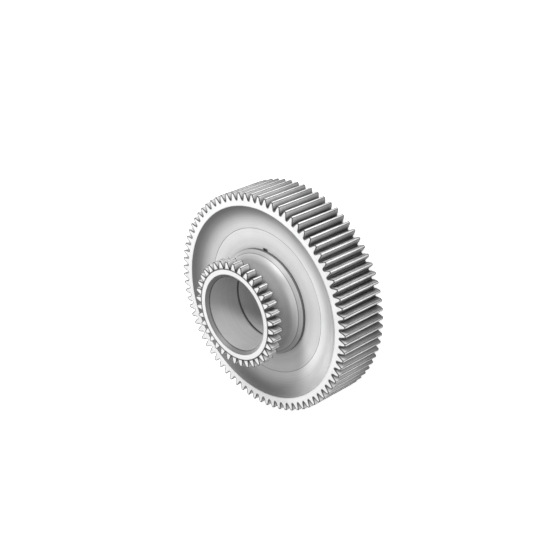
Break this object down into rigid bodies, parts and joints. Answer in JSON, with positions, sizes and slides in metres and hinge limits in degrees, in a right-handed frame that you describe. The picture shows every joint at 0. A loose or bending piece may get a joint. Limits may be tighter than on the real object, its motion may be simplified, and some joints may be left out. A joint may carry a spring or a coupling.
{
  "type": "idler gear",
  "caption": "Compound idler gear: a wide spur wheel with a dished web and a bored hub that carries a smaller spur gear on a flared neck.",
  "frame": {"origin": "on the gear's axis at the large wheel's rear face, which the part rests on", "axes": "+Z along the gear's axis from the large wheel towards the small gear, +X through the middle of one tooth space of the large wheel"},
  "size_m": [0.2024, 0.2024, 0.0795],
  "materials": {
    "wheel_steel": "ground and machined, satin",
    "pinion_steel": "ground and machined, satin"
  },
  "bodies": {
    "root": {"gear_wheel": "wheel_steel", "pinion": "pinion_steel"}
  },
  "joints": []
}
